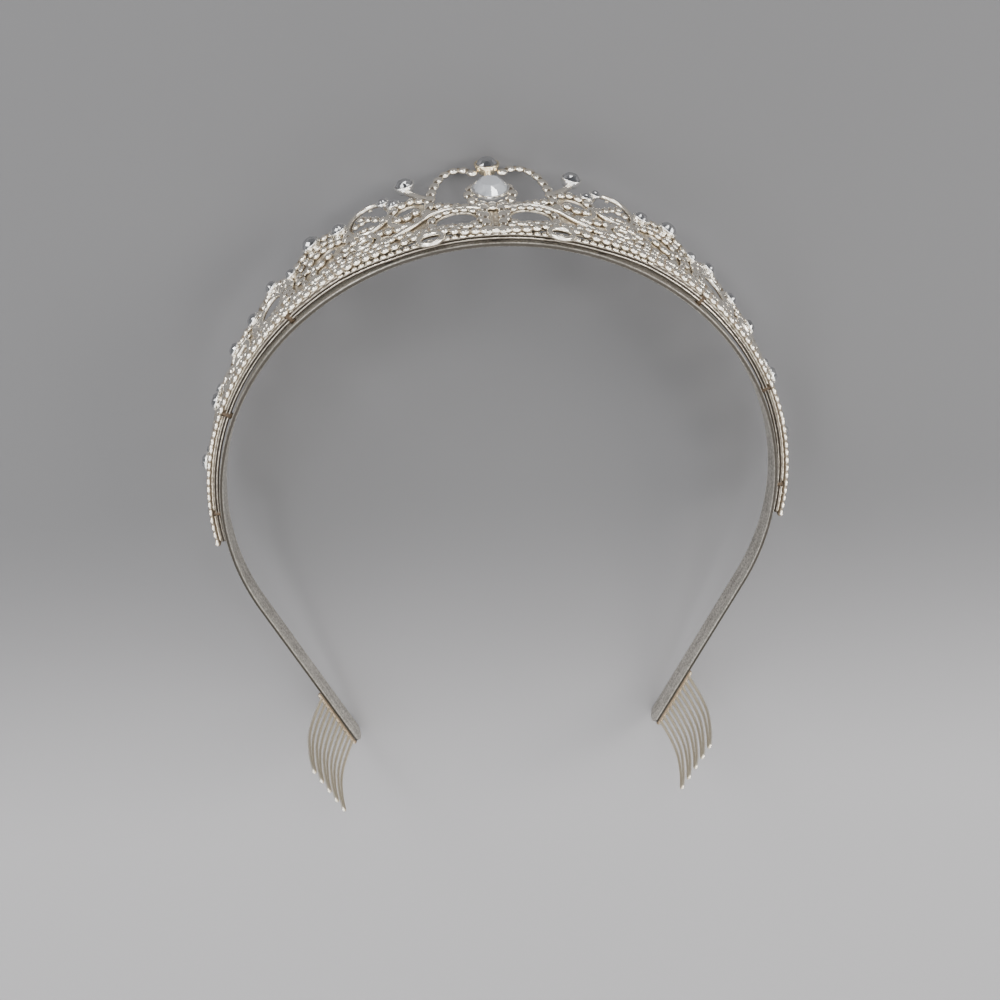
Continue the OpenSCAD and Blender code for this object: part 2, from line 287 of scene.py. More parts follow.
def rounded_strip(half_thick, half_high, corner):
    """Outline of a strip: a rectangle whose corners are quarter circles of four points."""
    a = np.linspace(0, pi / 2, 4)
    quarter = np.concatenate([a + q * pi / 2 for q in range(4)])
    sign_x = np.repeat([1, -1, -1, 1], len(a))
    sign_y = np.repeat([1, 1, -1, -1], len(a))
    return (sign_x * (half_thick - corner) + corner * np.cos(quarter),
            sign_y * (half_high - corner) + corner * np.sin(quarter))


def headband():
    """The strip's outline carried along the band's middle line. Over the last millimetres its height
    follows a quarter circle down to its least share, which makes a blunt round tip."""
    path, facing = band_path()
    length = lengths_along(path)
    x, y = rounded_strip(band_thick / 2, band_height / 2, edge_radius)
    from_end = np.minimum(length, length[-1] - length)
    tip = np.maximum(np.sqrt(1 - (1 - np.clip(from_end / tip_length, 0, 1)) ** 2), tip_least)
    up = np.repeat([[0, 0, 1.0]], len(path), axis=0)
    points = sweep(path - up * band_height / 2, facing, up, x[None], y[None] * tip[:, None])
    rows, columns = points.shape[:2]
    faces = [face[::-1] for face in tube_faces(rows, columns)]
    # Lit share: 1 on the faces, falling to 0 at the edges, where the dark edge is painted
    proud = np.clip((1 - np.abs(y) / (band_height / 2)) / edge_fade, 0, 1)
    strip = Shape()
    strip.add(at_rest(points.reshape(-1, 3)), faces, np.tile(proud, rows))
    round_it = np.arange(columns) / columns * wrap_length
    outlines = np.stack([np.repeat(length, columns), np.tile(round_it, rows)], axis=-1)
    strip.place("headband_strip", satin_steel(), "band_steel", "headband", outlines=outlines)


headband()

# The crest's wires: rails, arches, scrolls and loops of the white-metal casting, which is silver
# plated and soldered to the band. Some are smooth wires and some are rows of beads on a thin core.
# Columns: thickness as a share of the main wire, beaded or smooth, then the points, each as a place
# round the crest in hundredths of its half angle and a height in hundredths of its height.
WIRES = [
    (0.90, "beads", [(-2, 1.4), (5.3, 2.6), (9.4, 8.4), (14.4, 8.4), (19, 5), (26, 6.6)]),
    (0.90, "beads", [(26, 6.6), (37, 6.4), (52.6, 6.4), (68.4, 6.4), (84, 6.4), (99.2, 6.4)]),
    (0.75, "beads", [(14, 13.6), (21, 16.4), (31.6, 15.8), (47.4, 15.2)]),
    (0.75, "beads", [(47.4, 15.2), (63, 14.8), (84, 14.2), (99.2, 13.8)]),
    (0.85, "beads", [(1.3, 2), (1.6, 18), (1.5, 33)]),
    (0.85, "beads", [(0, 33.4), (4.2, 36.4), (8, 42), (11.4, 48)]),
    (0.95, "beads", [(12.2, 38), (11.4, 50), (11.2, 62), (10.5, 75), (9.2, 87.5), (7.2, 95.6),
                     (4.7, 96), (2.9, 89.5)]),
    (0.60, "smooth", [(2.2, 33), (7, 37), (11.6, 33.5), (15, 24), (19, 16)]),
    (0.75, "smooth", [(11.6, 57), (13.8, 67), (15.7, 78)]),
    (0.90, "beads", [(11.6, 55), (15, 62), (18.4, 56), (19, 45), (16.4, 39), (14.2, 43.5)]),
    (0.75, "beads", [(19, 45), (22.4, 55), (25.2, 65)]),
    (0.70, "beads", [(23.6, 59), (26.4, 57)]),
    (0.90, "beads", [(12.4, 35), (16.6, 27), (21, 30.5), (25.4, 36), (28.6, 32), (30.6, 23),
                     (35, 16.4)]),
    (0.80, "smooth", [(16.6, 27), (19, 36), (19, 45)]),
    (0.75, "smooth", [(22, 16), (21.4, 24), (22.6, 30.5)]),
    (0.90, "beads", [(27.6, 42), (29.2, 63), (33.6, 70.5), (38.4, 66), (41.6, 52), (42, 34),
                     (40.4, 16)]),
    (0.85, "beads", [(28.2, 32.6), (27.4, 43), (31.6, 51.5), (35.8, 50), (37.4, 40), (34.8, 32.5),
                     (32.4, 37.5)]),
    (0.75, "beads", [(34.8, 32.5), (36, 24), (34.4, 16)]),
    (0.75, "beads", [(42, 42), (45, 52), (47.2, 58)]),
    (0.90, "beads", [(52.2, 28), (53.6, 45), (57.2, 51.5), (61, 45.5), (63.2, 31.6), (63, 15)]),
    (0.75, "smooth", [(54.2, 15.4), (55.6, 31), (59.2, 31.6), (60, 23), (57.4, 20.5)]),
    (0.90, "beads", [(63.2, 25), (65.2, 40.5), (69.5, 44.2), (73.8, 38.6), (75.8, 26), (75.6, 14.6)]),
    (0.90, "beads", [(76, 22), (78.4, 37.2), (83.2, 40), (87.4, 34), (89.2, 23.6), (89, 14.2)]),
    (0.90, "smooth", [(89.2, 21), (91.6, 33.6), (95.4, 34), (98.4, 27), (99.4, 18), (99.4, 5.6)]),
    (0.75, "smooth", [(69.5, 13.6), (69.5, 24)]),
    (0.75, "smooth", [(83.2, 13.4), (83.2, 22)]),
    (0.75, "smooth", [(94.4, 12.8), (94.4, 17.4)]),
    (0.75, "smooth", [(47.2, 5.6), (47.2, 16)]),
    (0.75, "smooth", [(76, 5.8), (76, 15)]),
    # finer rows of beads that fill the casting between the wires above
    (0.65, "beads", [(3, 8), (7, 12), (12, 13.5), (16, 10)]),
    (0.65, "beads", [(9.5, 40), (13, 32), (17, 22), (21.4, 12)]),
    (0.60, "beads", [(20, 11), (28, 11.5), (38, 11), (47.2, 10.8)]),
    (0.65, "beads", [(23, 44), (25.4, 46), (27.6, 42)]),
    (0.60, "beads", [(24, 22), (26.4, 27), (29, 24), (31, 17)]),
    (0.65, "beads", [(30.4, 56), (33.6, 61.5), (37, 58), (39.4, 47), (39.6, 33)]),
    (0.60, "beads", [(37, 18), (38.4, 28), (38.2, 38)]),
    (0.65, "beads", [(42, 28), (44.2, 44), (46, 54)]),
    (0.65, "beads", [(49.4, 57), (51.4, 44), (52.2, 28), (51.6, 17)]),
    (0.60, "beads", [(44, 17), (45.6, 24), (47.2, 20), (49, 24), (50.2, 17)]),
    (0.60, "beads", [(55.4, 38), (57.4, 43), (60, 39), (61.4, 28)]),
    (0.65, "beads", [(65.4, 18), (66.6, 33), (69.5, 37.5), (72.4, 32), (73.6, 18)]),
    (0.65, "beads", [(78, 17), (79.8, 30), (83.2, 33.5), (86, 28), (87.4, 17)]),
    (0.60, "beads", [(90.8, 16), (92, 27), (95, 28.5), (97.4, 22)]),
    (0.60, "beads", [(47, 10.8), (60, 10.6), (72, 10.5), (84, 10.4), (99, 10)]),
    (0.60, "beads", [(43.6, 33), (44.6, 45), (47.2, 52)]),
    (0.60, "beads", [(49.4, 24), (52, 36), (54.4, 48)]),
    (0.60, "beads", [(65, 12), (72, 18), (76, 24)]),
]
# Columns: middle round the crest and up it, half-width and half-height, all in hundredths as above,
# thickness as a share, beaded or smooth
LOOPS = [
    (11.8, 0.8, 2.2, 6.6, 0.70, "smooth"),
    (6.9, 21.4, 4.7, 12.8, 0.70, "beads"),
    (23.6, 58, 4.4, 19.5, 0.60, "smooth"),
    (24.6, 25.2, 1.6, 4.8, 0.60, "smooth"),
    (47.2, 37.4, 5.4, 22.6, 0.90, "beads"),
    (47.2, 31, 3.2, 14.5, 0.60, "smooth"),
]
# The oval frame of the centre stone is a row of beads, and a short neck joins it to the highest cup
centre_stone_width, centre_stone_height, centre_stone_rise = 0.0076, 0.011, 54.5
frame_share, neck_share = 0.95, 1.1
neck_overlap, neck_end = 2, top_cup_rise - 6
wire_sides = 10
end_rings = 4
end_point = 0.02
curve_step = 0.0002
oval_steps = 180
# How far apart the rings of a smooth wire are, and those of the core under beads
RING_STEP = {"smooth": 0.0006, "beads": 0.0008}
# How much of the lit share a wire keeps: all on a smooth wire, and little on the core under beads,
# which is painted as shade between the beads
LIT_SHARE_KEPT = {"smooth": 1.0, "beads": 0.3}
core_share = 0.62
# Beads: the way between two on the main wire, width over the wire's, depth over width, length over
# the way, and how much a step up the crest counts beside one round it
bead_pitch = 0.0022
bead_share = 1.46
bead_flat = 0.56
bead_reach = 0.48
climb_share = 0.62
# Bright silver, and the dark brown that is painted shade on the sides of wires and beads that face back
# into the crest
bright_silver = (0.96, 0.90, 0.79)
painted_shade_brown = (0.21, 0.172, 0.128)
# The wear: how much noise shifts the edge between the dull painted shade and the bright plate, and both
# roughnesses
noise_share = 0.35
dull_roughness, bright_roughness = 0.55, 0.2
dent_depth = 0.0002


def wear_and_shade_silver_group():
    """Silver plate with dark brown painted shade where the mesh's lit share is low: that mask plus a
    little noise, for wear, picks between the dull and the bright colour, and a fine noise roughens and
    dents the plate."""
    group = bpy.data.node_groups.new("worn silver", "ShaderNodeTree")
    sockets = {"INPUT": {"Lit share": "Float", "Dull": "Color", "Bright": "Color", "Dull up to": "Float",
                         "Bright from": "Float", "Grain": "Float", "Dent": "Float"},
               "OUTPUT": {"Color": "Color", "Roughness": "Float", "Normal": "Vector"}}
    for way, kinds in sockets.items():
        for label, kind in kinds.items():
            group.interface.new_socket(label, in_out=way, socket_type="NodeSocket" + kind)
    given = group.nodes.new("NodeGroupInput").outputs
    cloud = noise(group, object_place(group), given["Grain"], 3)
    shift = add_node(group, "Math", 0, {0: cloud, 1: noise_share, 2: -noise_share / 2},
                     operation="MULTIPLY_ADD")
    total = add_node(group, "Math", 0, {0: given["Lit share"], 1: shift}, operation="ADD")
    bright = ramp(group, total, given["Dull up to"], given["Bright from"], bend="SMOOTHSTEP")
    feed(group, group.nodes.new("NodeGroupOutput"), {
        "Color": between(group, bright, given["Dull"], given["Bright"]),
        "Roughness": ramp(group, bright, low=dull_roughness, high=bright_roughness),
        "Normal": dents(group, cloud, given["Dent"], dent_depth)})
    return group


wear_and_shade_silver = wear_and_shade_silver_group()


def silver(name, bright, dull, dull_up_to, bright_from, grain, dent):
    """Plated metal with wear and painted shade, driven by the mesh's lit share attribute."""
    material, tree, shader = new_material(name, {"Metallic": 1.0})
    wear_and_shade = tree.nodes.new("ShaderNodeGroup")
    wear_and_shade.node_tree = wear_and_shade_silver
    feed(tree, wear_and_shade, {
        "Lit share": proud_of_mesh(tree), "Dull": (*dull, 1), "Bright": (*bright, 1),
        "Dull up to": dull_up_to, "Bright from": bright_from, "Grain": grain, "Dent": dent})
    feed(tree, shader, {"Base Color": wear_and_shade.outputs["Color"], "Roughness": wear_and_shade.outputs["Roughness"],
                        "Normal": wear_and_shade.outputs["Normal"]})
    return material


def curve_through(points, steps):
    """A curve through the points: between each two it is the cubic that takes its slope at a point
    from that point's two neighbours, in a set number of steps."""
    p = np.asarray(points, float)
    ends = np.concatenate([p[:1], p, p[-1:]])
    t = np.linspace(0, 1, steps, endpoint=False)[:, None]
    a, b, c, d = (ends[k:len(p) - 1 + k, None] for k in range(4))
    fine = 0.5 * (2 * b + (c - a) * t + (2 * a - 5 * b + 4 * c - d) * t ** 2
                  + (3 * b - a - 3 * c + d) * t ** 3)
    return np.concatenate([fine.reshape(-1, p.shape[1]), p[-1:]])


def even_steps(line, spacing, climb=1.0):
    """Points at even steps along a line, measured on the crest in metres, with the part of each step
    that goes up the crest counted at its share."""
    metres = [radians(crest_half_angle) / 100 * crest_radius, climb * crest_height / 100]
    length = lengths_along(line * metres)
    wanted = np.linspace(0, length[-1], max(2, round(length[-1] / spacing) + 1))
    return np.stack([np.interp(wanted, length, line[:, k]) for k in range(line.shape[1])], axis=-1)


def smooth_curve(points):
    """The curve through points of the crest, at even steps."""
    return even_steps(curve_through(points, 24), curve_step)


def oval(middle_x, middle_y, half_x, half_y):
    """An oval on the crest: its middle plus its half-sizes times the sine and cosine of an angle."""
    a = np.linspace(0, 2 * pi, oval_steps + 1)
    return np.stack([middle_x + half_x * np.sin(a), middle_y + half_y * np.cos(a)], axis=-1)


def turn_of(share, side):
    """The angle from the crown's front, for a place in hundredths round one side of the crest."""
    return side * np.radians(share / 100 * crest_half_angle)


def on_crest(shares, out, side):
    """Points of the crest, from hundredths round it and up it, and a distance outwards."""
    turn = turn_of(shares[..., 0], side)
    return at_rest(crest_flat(turn, shares[..., 1] / 100 * crest_height, out + 0 * turn))


def crest_facing(shares, side):
    """The crest's outward direction at the same places."""
    turn = turn_of(shares[..., 0], side)
    return (outwards(turn) * cos(lean) + np.array([0, 0, sin(lean)])) @ rest_turn.T


def headings(path, closed=False):
    """The direction of a path at each point, from the point before it to the one after it."""
    if closed:
        return unit(np.roll(path, -1, axis=0) - np.roll(path, 1, axis=0))
    return unit(np.gradient(path, axis=0))


def round_wire(shape, path, facing, radius, closed=False, sides=wire_sides, bright=1.0):
    """A round wire: a circle carried along the path. An open end narrows to a point along a quarter
    circle, so that it is closed and round. Its lit share is high where it faces outwards and low on its
    back, where shade is painted."""
    heading = headings(path, closed)
    size = np.ones(len(path))
    if not closed:
        a = np.linspace(0, pi / 2, end_rings + 1)[:-1]
        back = radius * np.cos(a)[:, None]
        narrow = np.maximum(np.sin(a), end_point)
        path = np.concatenate([path[0] - heading[0] * back, path, path[-1] + heading[-1] * back[::-1]])
        repeats = np.ones(len(size), int)
        repeats[[0, -1]] += end_rings
        heading, facing = np.repeat(heading, repeats, axis=0), np.repeat(facing, repeats, axis=0)
        size = np.concatenate([narrow, size, narrow[::-1]])
    across = unit(np.cross(heading, facing))
    up = np.cross(across, heading)
    a = 2 * pi * np.arange(sides) / sides
    reach = radius * size[:, None]
    points = sweep(path, across, up, reach * np.sin(a), reach * np.cos(a))
    # Painted shade: the lit share falls from the wire's outward side to its back, scaled by bright
    proud = bright * np.tile(0.5 + 0.5 * np.cos(a), len(path))
    shape.add(points, tube_faces(len(path), sides, closed), proud)


def ball(rings, sides):
    """Points and faces of a unit ball, by angle from its pole and angle round it, with one point at
    each pole."""
    polar = np.linspace(0, pi, rings + 1)[1:-1, None]
    a = 2 * pi * np.arange(sides)[None] / sides
    x, y, z = np.sin(polar) * np.cos(a), np.sin(polar) * np.sin(a), np.cos(polar) + 0 * a
    points = np.concatenate([np.stack([x, y, z], axis=-1).reshape(-1, 3), [[0, 0, 1], [0, 0, -1]]])
    faces = [tuple(quad)[::-1] for quad in grid_faces(rings - 1, sides)]
    top, bottom, last = len(points) - 2, len(points) - 1, (rings - 2) * sides
    faces += [(top, k, (k + 1) % sides) for k in range(sides)]
    faces += [(bottom, last + (k + 1) % sides, last + k) for k in range(sides)]
    return points, faces


def bead_row(shape, path, heading, facing, radius):
    """One flattened ball per path point. It is as long as half the way to its two neighbours."""
    points, faces = ball(8, 12)
    across = unit(np.cross(heading, facing))
    up = np.cross(across, heading)
    ways = np.linalg.norm(np.diff(path, axis=0), axis=1)
    reach = bead_reach * (np.append(ways, ways[-1]) + np.append(ways[0], ways)) / 2
    x, y, z = points[:, :1], points[:, 1:2], points[:, 2:]
    for middle, e, n, h, along in zip(path, across, up, heading, reach):
        turned = x * radius * e + y * along * h + z * radius * bead_flat * n
        # Painted shade: the lit share falls from each bead's outward side to the half that faces back
        # into the crest
        shape.add(middle + turned, faces, 0.5 + 0.5 * points[:, 2])


def crest_line(wires, beads, line, share, kind, side, closed=False, out=0.0):
    """One wire of the crest, as a smooth round wire, or as a thin core with beads on it. The beads of
    a thinner wire stand closer."""
    radius = share * wire_radius
    beaded = kind == "beads"
    last = -1 if closed else None
    fine = even_steps(line, RING_STEP[kind])[:last]
    round_wire(wires, on_crest(fine, out, side), crest_facing(fine, side),
               core_share * radius if beaded else radius, closed, bright=LIT_SHARE_KEPT[kind])
    if beaded:
        places = even_steps(line, bead_pitch * (0.4 + 0.6 * share / 0.9), climb_share)[:last]
        path = on_crest(places, out, side)
        bead_row(beads, path, headings(path, closed), crest_facing(places, side), bead_share * radius)


def crest_wires_and_beads():
    """The wires and loops of both sides, and in the middle the oval round the centre stone's cup and
    the neck above it. The oval's half-sizes are the stone's, plus its cup's wall and part of a wire."""
    wires, beads = Shape(), Shape()
    for side in (-1, 1):
        for share, kind, points in WIRES:
            crest_line(wires, beads, smooth_curve(points), share, kind, side)
        for x, y, half_x, half_y, share, kind in LOOPS:
            crest_line(wires, beads, oval(x, y, half_x, half_y), share, kind, side, closed=True)
    round_it = 100 / (crest_radius * radians(crest_half_angle))
    around_stone = joint_gap + cup_wall
    half_width = (centre_stone_width / 2 + around_stone + 0.5 * wire_radius) * round_it
    half_height = (centre_stone_height / 2 + around_stone + 0.8 * wire_radius) / crest_height * 100
    around = oval(0, centre_stone_rise, half_width, half_height)
    crest_line(wires, beads, around, frame_share, "beads", 1, closed=True)
    neck = smooth_curve([(0, centre_stone_rise + half_height - neck_overlap), (0, neck_end)])
    crest_line(wires, beads, neck, neck_share, "smooth", 1)
    # Bright silver where the lit share is high, painted brown shade where it is low
    wire_silver = silver("crest wire silver", bright_silver, painted_shade_brown, dull_up_to=0.25,
                         bright_from=0.6, grain=1200, dent=0.2)
    bead_silver = silver("crest bead silver", bright_silver, painted_shade_brown, dull_up_to=0.22,
                         bright_from=0.55, grain=1500, dent=0.15)
    wires.place("crest_wires", wire_silver, "crest_silver", "crest")
    beads.place("crest_beads", bead_silver, "crest_silver", "crest")


crest_wires_and_beads()

# The crest's plate: the thin sheet that is cast between the wires and pierced by the openings. It
# lies a little behind the wires, and its worn grain is rougher than theirs.
# Columns of both lines: round the crest and up it, in hundredths
PLATE_TOP = [
    (0, 33), (4.2, 36.4), (8, 42), (11.4, 48), (13, 56), (15, 61), (18.5, 60), (20.6, 70), (23.6, 77),
    (27, 68), (29.2, 62), (33.6, 69), (38.4, 65), (41.8, 51), (44, 56), (47.2, 59), (50.4, 55),
    (52.6, 43), (54, 46), (57.2, 51), (61, 45), (63.4, 36), (65.4, 40), (69.5, 43.5), (73.8, 38),
    (76.2, 30), (78.4, 36.5), (83.2, 39.5), (87.4, 33.5), (89.6, 26), (91.6, 33), (95.4, 33.5),
    (98.4, 27), (99.2, 20)]
PLATE_FOOT = [(0, 1.4), (5.3, 2.6), (9.4, 8), (14.4, 8), (19, 5), (26, 6.6), (99.2, 6.4)]
# Columns: middle round the crest and up it, half-width and half-height, in hundredths
OPENINGS = [
    (6.9, 22.6, 3.8, 10.6), (15.8, 50, 2.3, 8), (23.6, 60, 3.7, 16.6), (20.6, 22.4, 1.3, 4),
    (32.6, 44, 1.6, 6), (27.4, 22, 1.2, 4.5), (47.2, 39.5, 4.6, 18), (57.6, 27.6, 1.5, 5),
    (69.5, 19.5, 1.9, 3.4), (83.2, 19, 1.9, 3.4), (94.6, 22, 1.6, 5)]
plate_columns, plate_rows = 420, 56
plate_back = 0.0007
plate_thick = 0.0005
plate_proud = 0.5
nearest_middle = 0.05


def crest_plate():
    """A sheet on the crest: rows run evenly from the foot line to the top line. Where its points
    fall inside an opening's oval they move straight out to the oval, and quads wholly inside are
    left out."""
    x = np.linspace(0, PLATE_FOOT[-1][0], plate_columns)[:, None] + np.zeros((1, plate_rows))
    foot, top = (np.interp(x, *np.array(line).T) for line in (PLATE_FOOT, PLATE_TOP))
    y = foot + (top - foot) * np.linspace(0, 1, plate_rows)
    hidden = np.zeros(x.shape, bool)
    for middle_x, middle_y, half_x, half_y in OPENINGS:
        share = np.hypot((x - middle_x) / half_x, (y - middle_y) / half_y)
        inside = share < 1
        hidden |= inside
        push = np.where(inside, 1 / np.maximum(share, nearest_middle), 1)
        x, y = middle_x + (x - middle_x) * push, middle_y + (y - middle_y) * push
    shown = ~(hidden[:-1, :-1] & hidden[1:, :-1] & hidden[:-1, 1:] & hidden[1:, 1:])
    numbers = np.arange(x.size).reshape(x.shape)
    first = numbers[:-1, :-1][shown]
    quads = np.stack([first, first + plate_rows, first + plate_rows + 1, first + 1], axis=-1)
    used, renumbered = np.unique(quads, return_inverse=True)
    shares = np.stack([x, y], axis=-1).reshape(-1, 2)[used]
    quads = renumbered.reshape(-1, 4)
    plate = Shape()
    for side, faces in ((-1, quads), (1, quads[:, ::-1])):
        plate.add(on_crest(shares, -plate_back, side), faces, plate_proud)
    plate_silver = silver("crest plate silver", (0.98, 0.91, 0.78), (0.44, 0.36, 0.26),
                          dull_up_to=0.38, bright_from=0.62, grain=1300, dent=1.0)
    piece = plate.place("crest_plate", plate_silver, "crest_silver", "crest")
    thickness = piece.modifiers.new("thickness", "SOLIDIFY")
    thickness.thickness = plate_thick
    thickness.offset = 0


crest_plate()

# The foot wires: two thin wires side by side along the whole foot of the crest, between it and the
# band, and a row of fine beads in front of them in the middle. They are cast with the crest.
# Columns: round the crest and up it, in hundredths. The foot lies lower at the front.
FOOT_LINE = [(-99, 6.0), (-30, 6.0), (-20, 2.4), (20, 2.4), (30, 6.0), (99, 6.0)]
# Columns: distance outwards from the crest's middle, thickness as a share, beaded or smooth
FOOT_WIRES = [(-0.0020, 0.40, "smooth"), (-0.0013, 0.36, "smooth"), (-0.0009, 0.62, "beads")]


def foot_wires():
    """Each wire follows the foot's line at its own distance outwards. The beads leave out both ends."""
    wires, beads = Shape(), Shape()
    foot = np.array(FOOT_LINE)
    for out, share, kind in FOOT_WIRES:
        crest_line(wires, beads, foot if kind == "smooth" else foot[1:-1], share, kind, 1, out=out)
    # The foot wires are coloured dark as painted shade, for the slot between the crest and the band
    # where they lie
    wire_silver = silver("foot wire silver", (0.46, 0.42, 0.36), (0.06, 0.05, 0.04),
                         dull_up_to=0.45, bright_from=0.8, grain=900, dent=0.4)
    bead_silver = silver("foot bead silver", bright_silver, painted_shade_brown,
                         dull_up_to=0.3, bright_from=0.65, grain=1500, dent=0.15)
    wires.place("crest_foot_wires", wire_silver, "crest_silver", "crest")
    beads.place("crest_foot_beads", bead_silver, "crest_silver", "crest")


foot_wires()

# The cups: round cast seats with a thin rolled rim, one for each stone; their insides are painted dark
# brown as shade. They stand on the crest's wires. The centre one is oval, and the highest one is more
# golden.
# Columns: middle round the crest and up it, in hundredths, and width over the side stone's
SIDE_STONES = [
    (15.9, 83.2, 1.00), (18.5, 63.7, 0.50), (20.6, 73.0, 0.50), (29.8, 62.1, 0.76), (36.2, 67.4, 1.00),
    (41.5, 51.3, 0.60), (47.2, 61.0, 0.72), (52.9, 44.7, 0.74), (60.4, 45.8, 0.76), (69.5, 28.2, 0.88),
    (69.5, 44.2, 0.58), (83.2, 25.8, 0.88), (83.2, 40.0, 0.58), (94.4, 21.1, 0.64),
]
side_stone_width = 0.0042
centre_stretch = centre_stone_height / centre_stone_width
cup_floor = 0.0006
# How deep a stone's back is below its girdle, as a share of its width
pavilion_share, centre_pavilion_share = 0.36, 0.2
# The lit share at each point of the cup's outline, from the back over the rim and inside: low on the
# back and nil inside, where brown shade is painted
CUP_LIT_SHARE = [0.3, 0.4, 0.6, 0.9, 1, 1, 1, 0.5, 0, 0, 0]


def seat_axes(share_x, share_y, side):
    """Where a cup's back is, and its three directions: along the crest, up it, and outwards."""
    at = np.array([share_x, share_y], float)
    turn = side * radians(share_x / 100 * crest_half_angle)
    facing = crest_facing(at, side)
    along = np.array([cos(turn), -sin(turn), 0]) @ rest_turn.T
    return on_crest(at, -cup_set_back, side), along, np.cross(facing, along), facing


def lathe(shape, seat, outline, stretch=1, sides=32):
    """A turned form: an outline of radii and heights spun round the seat's outward direction, with
    its height direction stretched for an oval. The outline's two ends are closed with flat caps."""
    at, along, up, facing = seat
    a = 2 * pi * np.arange(sides)[None] / sides
    radius, height = (np.array(column)[:, None] for column in zip(*outline))
    x = radius * np.sin(a)
    y = radius * np.cos(a) + (stretch - 1) * np.cos(a) * np.minimum(radius, outline[-1][0])
    points = at + x[..., None] * along + y[..., None] * up + height[..., None] * facing
    shape.add(points, tube_faces(len(outline), sides), np.repeat(CUP_LIT_SHARE, sides))


def cup_outline(width, pavilion=pavilion_share):
    """Radii and heights from the back up the outer wall, over the rolled rim and down inside, as
    shares of the inner radius, the wall, the depth and half the rim."""
    inside = width / 2 + joint_gap
    deep = cup_floor + pavilion * width + joint_gap
    rim = cup_wall / 2
    return [(0.55 * inside, 0.0), (0.8 * inside, 0.05 * deep), (inside + 0.35 * cup_wall, 0.45 * deep),
            (inside + cup_wall, deep - rim), (inside + 0.9 * cup_wall, deep - 0.3 * rim),
            (inside + 0.5 * cup_wall, deep), (inside + 0.1 * cup_wall, deep - 0.3 * rim),
            (inside, deep - rim), (0.98 * inside, deep - 0.5 * pavilion * width),
            (0.6 * inside, cup_floor), (0.3 * inside, cup_floor)]


def crest_cups():
    """A turned cup for each stone of both sides, the oval centre one, and the golden one on top."""
    cups, golden = Shape(), Shape()
    for side in (-1, 1):
        for x, y, share in SIDE_STONES:
            lathe(cups, seat_axes(x, y, side), cup_outline(share * side_stone_width))
    centre = cup_outline(centre_stone_width, centre_pavilion_share)
    lathe(cups, seat_axes(0, centre_stone_rise, 1), centre, centre_stretch, sides=48)
    lathe(golden, seat_axes(0, top_cup_rise, 1), cup_outline(top_stone_width))
    # Cup colours: bright on the rim, painted brown shade on the back and the inside
    cup_silver = silver("cup silver", (0.95, 0.94, 0.91), painted_shade_brown,
                        dull_up_to=0.1, bright_from=0.45, grain=700, dent=0.05)
    gilt = silver("golden cup", (0.95, 0.83, 0.60), (0.30, 0.20, 0.10),
                  dull_up_to=0.1, bright_from=0.6, grain=700, dent=0.1)
    golden.place("crest_top_cup", gilt, "crest_silver", "crest")
    cups.place("crest_cups", cup_silver, "crest_silver", "crest")


crest_cups()

# The solder: uneven brownish blobs of soft solder, run in hot, that join the crest's lowest wire to
# the band. The numbers are their places round the crest, in hundredths.
SOLDER_POSTS = [-92, -68, -43, -20.8, 0, 20.8, 43, 68, 92]
solder_radius = 0.00092
solder_proud = 0.45


def solder_blobs():
    """Each blob is a ball drawn out between the band and the wire. Its radius grows with the square of
    the way to either end, which leaves a waist, and two waves make it uneven."""
    blobs = Shape()
    points, faces = ball(10, 16)
    x, y, z = points[:, :1], points[:, 1:2], points[:, 2:]
    reach = crest_standoff + wire_radius
    down = np.array([0, 0, -1])
    for share in SOLDER_POSTS:
        turn = radians(share / 100 * crest_half_angle)
        out = outwards(np.array(turn))
        along = np.array([cos(turn), -sin(turn), 0])
        middle = out * (outer_radius + 0.5 * reach) + down * (0.5 * band_height)
        waist = 0.8 + 0.35 * z ** 2
        lump = 1 + 0.12 * np.sin(5 * x + share) * np.cos(4 * y - share)
        spread = solder_radius * waist * lump
        swept = x * along * 1.25 * spread + y * down * spread + z * out * (0.62 * reach)
        blobs.add(at_rest(middle + swept), faces, solder_proud)
    solder = silver("brown solder", (0.13, 0.10, 0.07), (0.05, 0.035, 0.025),
                    dull_up_to=0.2, bright_from=0.8, grain=600, dent=0.4)
    blobs.place("crest_solder", solder, "crest_silver", "crest")


solder_blobs()

# The stones: clear pressed glass with a foil back, cut with a flat table, a ring of star and kite
# facets, and a pointed back. The centre one is cloudy. Each is glued into its cup.
crown_share, table_share = 0.2, 0.6
girdle = 0.0002
# The ring of facet corners between table and girdle, and the one on the back: radius as a share of
# the half-width, and height as a share of the crown or of the back
star_radius, star_rise = 0.82, 0.52
back_radius, back_rise = 0.45, 0.38
glass_ior = 1.9
cloud_grain = 260
cloud_strength = 0.35


